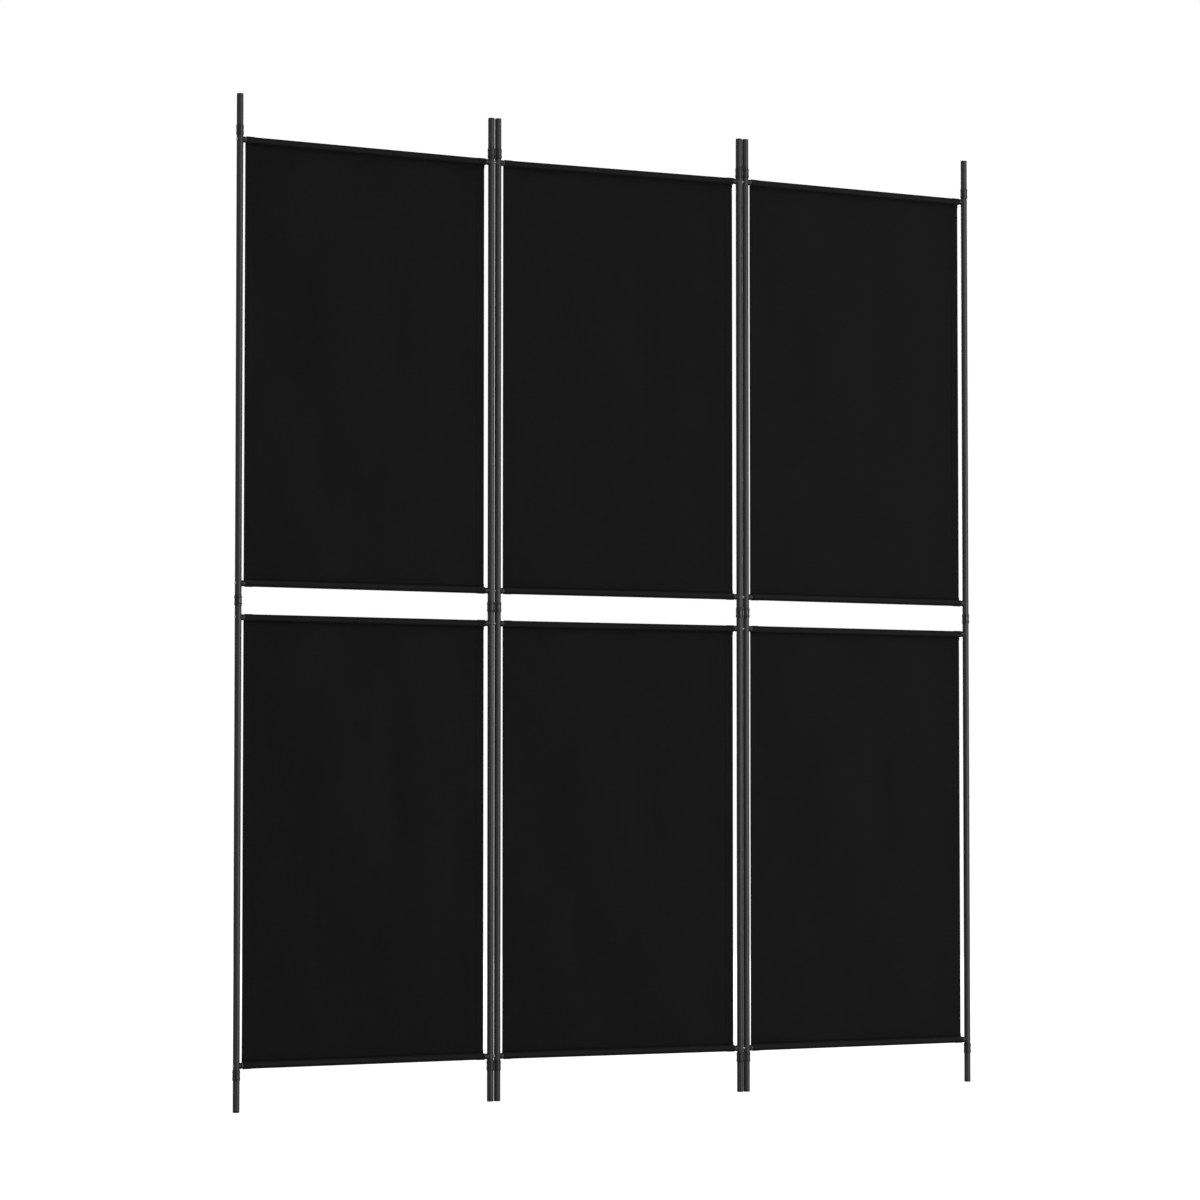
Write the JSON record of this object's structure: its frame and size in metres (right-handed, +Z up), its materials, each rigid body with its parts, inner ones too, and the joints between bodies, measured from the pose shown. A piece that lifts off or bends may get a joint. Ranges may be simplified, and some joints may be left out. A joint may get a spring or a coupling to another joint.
{
  "type": "folding room divider screen",
  "caption": "Free-standing folding privacy screen: slim tube frames with upper and lower fabric fields stretched between rods, joined by turning plastic links.",
  "frame": {"origin": "on the floor, under the middle of the opened screen", "axes": "+X along the opened screen to the right as seen from the front, +Y to the back (the fabric hangs behind the rods), +Z up; at rest the screen is opened almost flat, with the left panel turned 3.5 degrees to the front and the right panel 3.5 degrees to the back of the middle one"},
  "size_m": [1.5006, 0.0738, 1.8],
  "materials": {
    "frame_paint": "satin dark grey powder coat",
    "plastic": "matt black moulded plastic",
    "screws": "zinc-plated steel",
    "fabric": "black plain-woven polyester"
  },
  "bodies": {
    "centre_panel": {"centre_left_foot_tube": "frame_paint", "centre_left_lower_tube": "frame_paint", "centre_left_upper_tube": "frame_paint", "centre_left_tip_tube": "frame_paint", "centre_right_foot_tube": "frame_paint", "centre_right_lower_tube": "frame_paint", "centre_right_upper_tube": "frame_paint", "centre_right_tip_tube": "frame_paint", "centre_bottom_rod": "frame_paint", "centre_lower_middle_rod": "frame_paint", "centre_upper_middle_rod": "frame_paint", "centre_top_rod": "frame_paint", "centre_lower_fabric": "fabric", "centre_upper_fabric": "fabric", "centre_post_connectors": "plastic", "centre_rod_saddles": "plastic", "centre_screws": "screws", "centre_end_caps": "plastic"},
    "left_links": {"left_bottom_link": "plastic", "left_middle_link": "plastic", "left_top_link": "plastic"},
    "left_panel": {"left_outer_foot_tube": "frame_paint", "left_outer_lower_tube": "frame_paint", "left_outer_upper_tube": "frame_paint", "left_outer_tip_tube": "frame_paint", "left_inner_foot_tube": "frame_paint", "left_inner_lower_tube": "frame_paint", "left_inner_upper_tube": "frame_paint", "left_inner_tip_tube": "frame_paint", "left_bottom_rod": "frame_paint", "left_lower_middle_rod": "frame_paint", "left_upper_middle_rod": "frame_paint", "left_top_rod": "frame_paint", "left_lower_fabric": "fabric", "left_upper_fabric": "fabric", "left_post_connectors": "plastic", "left_rod_saddles": "plastic", "left_screws": "screws", "left_end_caps": "plastic"},
    "right_links": {"right_bottom_link": "plastic", "right_middle_link": "plastic", "right_top_link": "plastic"},
    "right_panel": {"right_inner_foot_tube": "frame_paint", "right_inner_lower_tube": "frame_paint", "right_inner_upper_tube": "frame_paint", "right_inner_tip_tube": "frame_paint", "right_outer_foot_tube": "frame_paint", "right_outer_lower_tube": "frame_paint", "right_outer_upper_tube": "frame_paint", "right_outer_tip_tube": "frame_paint", "right_bottom_rod": "frame_paint", "right_lower_middle_rod": "frame_paint", "right_upper_middle_rod": "frame_paint", "right_top_rod": "frame_paint", "right_lower_fabric": "fabric", "right_upper_fabric": "fabric", "right_post_connectors": "plastic", "right_rod_saddles": "plastic", "right_screws": "screws", "right_end_caps": "plastic"}
  },
  "joints": [
    {"name": "left_link_turn", "type": "hinge", "parent": "centre_panel", "child": "left_links", "pos_m": [-0.24357, 0, 0], "axis": [0, 0, 1], "range_deg": [0, 90]},
    {"name": "left_panel_turn", "type": "hinge", "parent": "left_links", "child": "left_panel", "pos_m": [-0.25687, 0, 0], "axis": [0, 0, 1], "range_deg": [-93.5, 86]},
    {"name": "right_link_turn", "type": "hinge", "parent": "centre_panel", "child": "right_links", "pos_m": [0.24357, 0, 0], "axis": [0, 0, 1], "range_deg": [0, 90]},
    {"name": "right_panel_turn", "type": "hinge", "parent": "right_links", "child": "right_panel", "pos_m": [0.25687, 0, 0], "axis": [0, 0, 1], "range_deg": [-93.5, 86]}
  ]
}
